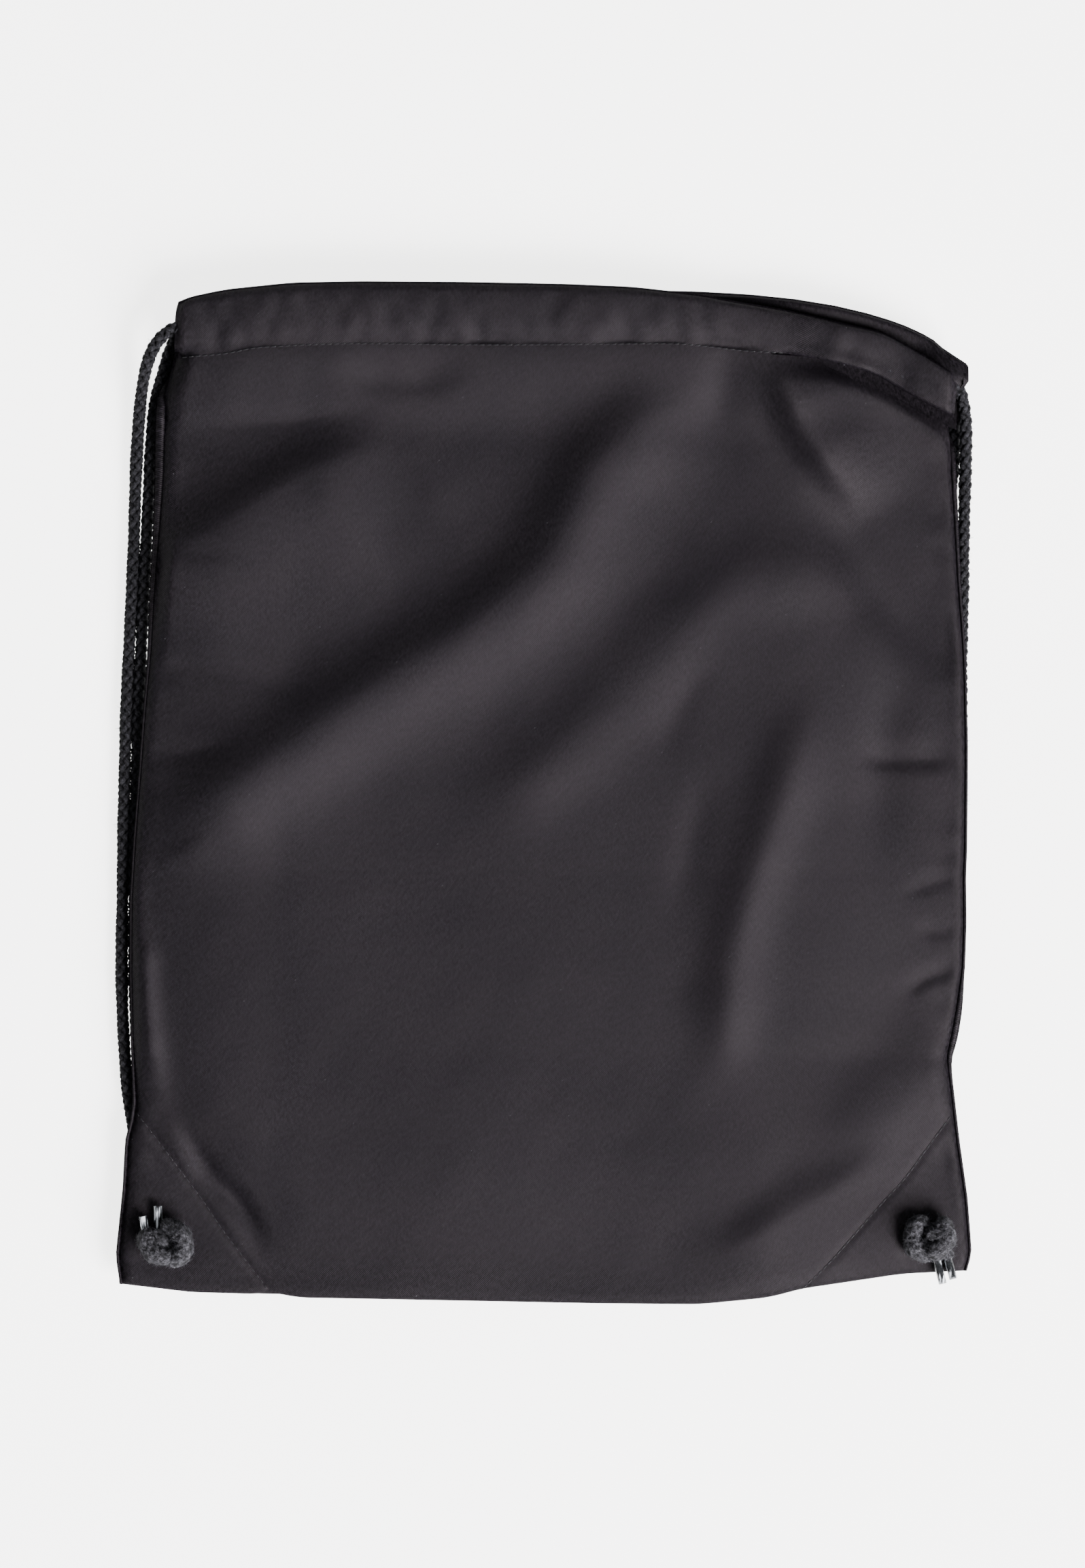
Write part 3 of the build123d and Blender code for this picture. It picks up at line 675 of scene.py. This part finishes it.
def hairs(roots, outward, count, reach, thick):
    """Loose fibres: thin curved ribbons that stand off a surface."""
    pick = rng.integers(0, len(roots), count)
    base, out = roots[pick], outward[pick]
    drift = rng.normal(size=(count, 3))
    drift -= out * np.sum(drift * out, axis=1)[:, None]
    drift /= np.linalg.norm(drift, axis=1)[:, None]
    curl = np.cross(out, drift)
    size = reach * rng.uniform(0.35, 1.0, count)[:, None]
    bend = rng.normal(0, 0.5, count)[:, None]
    root = base - out * 0.3
    knee = base + out * size * 0.45 + drift * size * 0.5
    tip = base + out * size * 0.75 + drift * size * 1.15 + curl * size * bend
    width = curl * thick
    points = np.stack([root - width, root + width, knee - width, knee + width, tip - width * 0.5,
                       tip + width * 0.5], axis=1).reshape(-1, 3)
    first = np.arange(count)[:, None] * 6
    faces = np.concatenate([first + [[0, 1, 3, 2]], first + [[2, 3, 5, 4]]])
    # the fibres' third uv value of 0.9 paints them lighter than the yarns they stand off, as painted light
    uv = np.tile(np.array([(u, v, 0.9) for u in (0, 1, 2) for v in (0, 0.3)]), (count, 1))
    return points, faces, uv


def spline_line(points, step):
    """Points every `step` along the open NURBS curve that given points control."""
    curve = bpy.data.curves.new("route", "CURVE")
    curve.dimensions = "3D"
    spline = curve.splines.new("NURBS")
    spline.points.add(len(points) - 1)
    for spot, p in zip(spline.points, points):
        spot.co = (*p, 1)
    spline.order_u = 3
    spline.use_endpoint_u = True
    spline.resolution_u = 24
    holder = bpy.data.objects.new("route", curve)
    mesh = bpy.data.meshes.new_from_object(holder)
    line = np.array([v.co for v in mesh.vertices], float)
    bpy.data.meshes.remove(mesh)
    bpy.data.objects.remove(holder)
    bpy.data.curves.remove(curve)
    run = run_along(line)
    spots = np.linspace(0, run[-1], int(run[-1] / step) + 1)
    return np.stack([np.interp(spots, run, line[:, k]) for k in range(3)], axis=1)


def braided(name, points, body, fuzz=2.0, step=1.0, phase=0.0):
    """A 6 mm braided cotton cord: eight yarns, four each way, over and under one another."""
    line = spline_line(points, step)
    _, side, over = frames(line)
    run = np.arange(len(line)) * step
    wobble = 0.10 * np.sin(run / 9.1 + phase) + 0.08 * np.sin(run / 3.7 + 2 * phase)
    parts, roots, outs = [], [], []
    for way in (1, -1):
        weave = way * np.cos(8 * math.pi * run / BRAID_PITCH)
        reach = 1.6 + 0.6 * weave + wobble
        for k in range(4):
            turn = way * 2 * math.pi * run / BRAID_PITCH + k * math.pi / 2 + phase
            out = np.cos(turn)[:, None] * side + np.sin(turn)[:, None] * over
            # the last argument paints shade on each yarn where it passes under its neighbour
            made, faces, uv = yarn(line + out * reach[:, None], line, 1.28, 0.92, 8, 0.52 + 0.48 * weave)
            parts.append((made, faces, uv + [k * 17.3 + (40 if way < 0 else 0), 0, 0]))
            roots.append(line + out * (reach[:, None] + 0.9))
            outs.append(out)
    fibres, faces, uv = hairs(np.vstack(roots), np.vstack(outs), int(len(line) * step * fuzz), 1.9, 0.07)
    fibres[:, 2] = np.maximum(fibres[:, 2], 0.1)
    shown = add_mesh(name, *joined(parts + [(fibres, faces, uv)]), cord_yarn)
    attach(shown, body)
    return shown, line * MM


def rise(hole, shift):
    """The end of a strand's route, where it turns up through its buttonhole."""
    x, y = hole[0] + shift, hole[1]
    return [(x, y + 4.392, 3), (x, y + 1.608, 4.608), (x, y, 7.392), (x, y, 9.2)]


# Routes of the loose strands, laid as in the part's source, from the side exit to the buttonhole.
STRANDS = {
    "left_front_strand": [
        (-156, 209.6, 16.3), (-164, 209.055, 16.3), (-172.4, 204, 14.6), (-177.6, 195, 11.4),
        (-180.6, 183, 7.4), (-182.5, 166, 4.3), (-184.0, 140, 3), (-184.9, 100, 3), (-187.4, 55, 3),
        (-188.9, 10, 3), (-189.5, -36, 3), (-190.4, -82, 3), (-188.8, -120, 3), (-185.6, -148, 3),
        (-180.2, -168, 3), (-175.8, -182, 3), (-173.2, -191, 3)] + rise(LEFT_HOLE, -3.2),
    "left_back_strand": [
        (-156, 209.6, 3.9), (-163, 209.123, 3.9), (-168, 200.5, 3.9), (-171, 190, 3.9),
        (-174.4, 180, 3.9), (-176.2, 167, 3), (-177.4, 146, 3), (-179.1, 112, 3), (-181.1, 72, 3),
        (-182.8, 34, 3), (-183.9, -8, 3), (-184.6, -52, 3), (-184.3, -94, 3), (-182.6, -124, 3),
        (-178.8, -148, 3), (-173.2, -168, 3), (-168.8, -182, 3), (-166.7, -191, 3)] + rise(LEFT_HOLE, 3.2),
    "right_front_strand": [
        (169, 191, 16.3), (177.6, 188.297, 16.3), (184.2, 183, 15.4), (187.4, 175, 12.6),
        (188.6, 163, 9.2), (188.4, 145, 6), (187.9, 120, 3.9), (187.4, 88, 3), (186.6, 46, 3),
        (186.8, 2, 3), (185.6, -40, 3), (181.6, -78, 3), (178.6, -112, 3), (178.6, -142, 3),
        (178.4, -166, 3), (176.6, -182, 3), (175.6, -190, 3)] + rise(RIGHT_HOLE, 3.2),
    "right_back_strand": [
        (169, 191, 3.9), (178, 188.171, 3.9), (182.6, 180.4, 3.9), (183.8, 169, 3.3), (183.8, 153, 3),
        (181.2, 130, 3), (180.4, 98, 3), (179.8, 56, 3), (180, 12, 3), (178.8, -32, 3), (174.8, -72, 3),
        (171.8, -108, 3), (171.6, -140, 3), (171.8, -164, 3), (170.2, -181, 3), (169.2, -189.6, 3)]
        + rise(RIGHT_HOLE, -3.2),
}
for i, (name, points) in enumerate(STRANDS.items()):
    shown, line = braided(name + "_braid", points, "bag", phase=0.9 * i)
    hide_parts(name)

# ---- cord runs inside the channels, each with the quarter of its loop ----
FRONT_LINE = [(-112, 212.6), (-50, 214.2), (14, 213), (68, 208.4), (108, 201.4), (141, 193.2)]
BACK_LINE = [(-112, 212.6), (-50, 214.2), (14, 213), (68, 209.6), (110, 203.2), (141, 193.2)]
RUN_ENDS = {"left": ((-155.6, 209.627), (166, 184)), "right": ((-153, 209.805), (168.6, 184.526))}
for side_name, shift in (("left", 0), ("right", 6.6)):
    first, last = RUN_ENDS[side_name]
    for layer, middle_points, height, turn_up, body in (
            ("front", FRONT_LINE, 16.3, -6.2, "mouth_front"), ("back", BACK_LINE, 3.9, 6.2, "bag")):
        points = [(x, y + shift, height) for x, y in [first, *middle_points, last]]
        if side_name == "left":
            points += [(171.9, 181.9 + shift, height), (171.9, 181.9 + shift, height + turn_up)]
        else:
            points = [(-159.2, 209.4 + shift, height + turn_up), (-159.2, 209.4 + shift, height)] + points
        name = f"{side_name}_cord_{layer}"
        shown, line = braided(name + "_braid", points, body, fuzz=0.4, step=1.6)
        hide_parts(name + "_run", name + "_loop")


# ---------------------------------------------------------------- knots
def fat_cord(points, wide, high, seed):
    """A piece of a pulled-tight knot: a soft rounded cord that swells between its ends."""
    line = smooth_line(points, 0.5)
    share = np.linspace(0, 1, len(line))
    swell = np.sqrt(np.clip(1 - (2 * share - 1) ** 6, 0.02, 1)) * (1 + 0.06 * np.sin(share * 19 + seed))
    made, faces, uv = tube(line, wide * swell, high * swell, KNOT_SIDES)
    out = made.reshape(len(line), KNOT_SIDES, 3) - line[:, None]
    out = (out / np.maximum(np.linalg.norm(out, axis=2)[..., None], 1e-6)).reshape(-1, 3)
    run, turn = uv[:, 0], uv[:, 1] / TUBE_UV
    plait = np.maximum(np.cos(5 * turn + 1.25 * run + seed), np.cos(5 * turn - 1.25 * run))
    tufts = waves(made[:, 0] + made[:, 2], made[:, 1] - made[:, 2] * 0.7, 1.6, 12, seed)
    bumps = 0.34 * plait + 0.2 * tufts
    # painted shade: this value darkens the knot's colour in the hollows between its plaits and tufts and
    # lightens it on their tops
    depth = np.clip(0.52 + 0.34 * plait + 0.16 * tufts, 0, 1)
    return made + out * bumps[:, None], faces, np.stack([run, 3.2 * uv[:, 1], depth], axis=1), out


def knot(name, pieces, replaced, body):
    """A knot of fat cord pieces, each (points, half width, half height), with loose fibres."""
    parts, outs = [], []
    for i, (points, wide, high) in enumerate(pieces):
        made, faces, uv, out = fat_cord(points, wide, high, 40 + i)
        parts.append((made, faces, uv + [i * 23.0, i * 7.0, 0]))
        outs.append(out)
    roots = np.vstack([made for made, _, _ in parts])
    parts.append(hairs(roots, np.vstack(outs), 2400, 1.7, 0.08))
    shown = add_mesh(name, *joined(parts), knot_yarn_painted_lighter)
    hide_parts(*replaced)
    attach(shown, body)


knot("left_knot_cords", [
    ([(-168.5, -208.0, 14.5), (-164.2, -207.2, 16.8), (-161.2, -202.5, 18.0), (-162.6, -196.6, 18.0),
      (-167.4, -193.6, 16.0), (-171.0, -194.4, 13.6)], 4.3, 4.4),
    ([(-176.8, -194.6, 14.2), (-178.0, -199.6, 16.6), (-175.0, -204.8, 17.6), (-169.4, -206.4, 17.0),
      (-166.2, -204.2, 14.6)], 4.0, 4.3),
    ([(-167.0, -202.5, 14.0), (-169.8, -200.0, 16.4), (-172.6, -197.4, 16.2), (-172.9, -195.2, 14.4)],
     2.8, 3.0),
    ([(-173.0, -203.5, 15.0), (-176.4, -201.6, 16.6), (-178.3, -198.6, 14.6)], 2.7, 2.8),
], ["left_knot"], "left_cord_knot")
knot("right_knot_cords", [
    ([(171.6, -191.6, 13.4), (167.0, -191.8, 14.8), (164.0, -196.2, 15.6), (164.4, -202.0, 15.8),
      (168.6, -205.6, 15.2), (172.4, -205.0, 13.6)], 3.9, 4.2),
    ([(168.4, -203.4, 12.6), (171.0, -200.6, 14.6), (172.8, -196.4, 14.4), (170.4, -193.6, 12.6)], 3.4, 3.2),
    ([(171.4, -205.0, 14.4), (175.2, -203.4, 17.4), (178.6, -198.8, 18.2), (178.0, -193.8, 17.0),
      (174.4, -191.6, 14.2)], 4.4, 4.4),
    ([(170.4, -197.2, 16.0), (174.0, -196.0, 18.4), (178.2, -197.6, 18.4), (181.2, -201.4, 15.4)], 3.1, 3.2),
    ([(171.8, -200.2, 15.0), (173.6, -203.6, 16.2), (174.9, -207.2, 14.0)], 2.8, 2.8),
    ([(176.8, -201.2, 15.6), (179.0, -204.2, 16.0), (180.2, -207.0, 14.0)], 2.7, 2.8),
], ["right_knot"], "right_cord_knot")

# ---------------------------------------------------------------- stitches
THREAD = 0.24                 # radius of the sewing thread
STITCH_STEP, STITCH_LENGTH = 3.1, 2.5


def stitches(name, points, surface, lift):
    """A row of small thread stitches along a line on the cloth."""
    line = smooth_line(points, 0.25)
    run = run_along(line)
    arch = 1 - np.linspace(-1, 1, 7) ** 4
    swell = THREAD * (0.35 + 0.65 * np.sqrt(arch + 0.02))
    parts = []
    for at in np.arange(STITCH_STEP * 0.4, run[-1] - STITCH_STEP * 0.5, STITCH_STEP):
        here = at + np.linspace(-0.5, 0.5, 7) * STITCH_LENGTH * rng.uniform(0.88, 1.06)
        x, y = np.interp(here, run, line[:, 0]), np.interp(here, run, line[:, 1])
        z = surface(x, y) + lift * arch - 0.25 * (1 - arch)
        parts.append(tube(np.stack([x, y, z], axis=1), swell, swell, 6))
    shown = add_mesh(name, *joined(parts), black_thread)
    return shown


def near_hem(x, y):
    """Height of the front cloth at its line of hem stitches."""
    edge = rows[len(up) - 1]
    return np.interp(x, edge[:, 0], edge[:, 2])


def under_back(x, y):
    """The back's stitches lie just below its outer face."""
    return np.full_like(x, 0.55)


hem_line, back_line = [[(x, y) for x, y in line if -164 < x < 183] for line in (STITCHED, BACK_STITCHED)]
made = stitches("front_hem_thread", hem_line, near_hem, 0.16)
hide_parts("front_channel_stitching")
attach(made, "mouth_front")
made = stitches("back_hem_thread", back_line, under_back, -0.16)
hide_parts("back_channel_stitching")
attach(made, "bag")
for side_name, line in (("left", CORNER_STITCH_LEFT), ("right", CORNER_STITCH_RIGHT)):
    made = stitches(side_name + "_corner_thread", line, front_surface, 0.14)
    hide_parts(side_name + "_corner_stitching")
    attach(made, "bag")

# ---- buttonhole: close stitches across the slot's rim, each (half width, half height) an ellipse's ----
INNER_RIM, OUTER_RIM = (6.3, 3.9), (8.6, 6.2)
for side_name, hole in (("left", LEFT_HOLE), ("right", RIGHT_HOLE)):
    parts = []
    t = np.linspace(0, 1, 6)
    for turn in np.arange(0, 2 * math.pi, 0.075):
        c, s = math.cos(turn), math.sin(turn)
        inner_x, inner_y = hole[0] + c * INNER_RIM[0], hole[1] + HOLE_SHIFT + s * INNER_RIM[1]
        outer_x, outer_y = hole[0] + c * OUTER_RIM[0], hole[1] + HOLE_SHIFT + s * OUTER_RIM[1]
        x, y = inner_x + (outer_x - inner_x) * t, inner_y + (outer_y - inner_y) * t
        z = front_surface(x, y) + 0.5 * np.sin(math.pi * (0.12 + 0.8 * t)) - 0.15
        z[0] -= 1.0
        parts.append(tube(np.stack([x, y, z], axis=1), THREAD, THREAD, 6))
    made = add_mesh(side_name + "_buttonhole_thread", *joined(parts), black_thread)
    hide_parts(side_name + "_buttonhole_stitching")
    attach(made, "bag")

# ---------------------------------------------------------------- pieces kept from the CAD
for name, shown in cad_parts.items():
    if shown.hide_render:
        continue
    shown.data.materials.clear()
    if "aglet" in name:
        shown.data.materials.append(film)
    elif "cord_end" in name or "neck" in name:
        shown.data.materials.append(core_yarn)
    else:
        shown.data.materials.append(patch_twill)

# ---------------------------------------------------------------- floor and light
material, tree, shader = new_material("paper")
tone = ramp(tree, noise(tree, own_space(tree), 3.0, 2.0), 0.3, 0.7, (0.54, 0.54, 0.535), (0.56, 0.56, 0.556))
fill(tree, shader, {"Base Color": tone, "Roughness": 0.9, "Specular IOR Level": 0.1,
                    "Emission Color": (1.0, 1.0, 0.985, 1), "Emission Strength": 3.6})
HALF_FLOOR = 3.0              # metres
corners = [(HALF_FLOOR * a, HALF_FLOOR * b, 0) for a, b in ((-1, -1), (1, -1), (1, 1), (-1, 1))]
floor_mesh = bpy.data.meshes.new("floor")
floor_mesh.from_pydata(corners, [], [(0, 1, 2, 3)])
floor_mesh.materials.append(material)
floor = bpy.data.objects.new("floor", floor_mesh)
bpy.context.scene.collection.objects.link(floor)

world = bpy.data.worlds.new("studio")
bpy.context.scene.world = world
world.use_nodes = True
world.node_tree.nodes["Background"].inputs["Color"].default_value = (0.95, 0.97, 1.0, 1)
world.node_tree.nodes["Background"].inputs["Strength"].default_value = 0.6

# one soft square light to the right and in front of the bag, aimed at its middle
KEY_PLACE = Vector((3.75, -3.55, 3.05))
light = bpy.data.lights.new("key", "AREA")
light.shape = "SQUARE"
light.size = 3.4
light.energy = 2950
light.color = (1.0, 0.97, 0.99)
key = bpy.data.objects.new("key", light)
bpy.context.scene.collection.objects.link(key)
key.location = KEY_PLACE
key.rotation_mode = "QUATERNION"
key.rotation_quaternion = (-KEY_PLACE).to_track_quat("-Z", "Y")
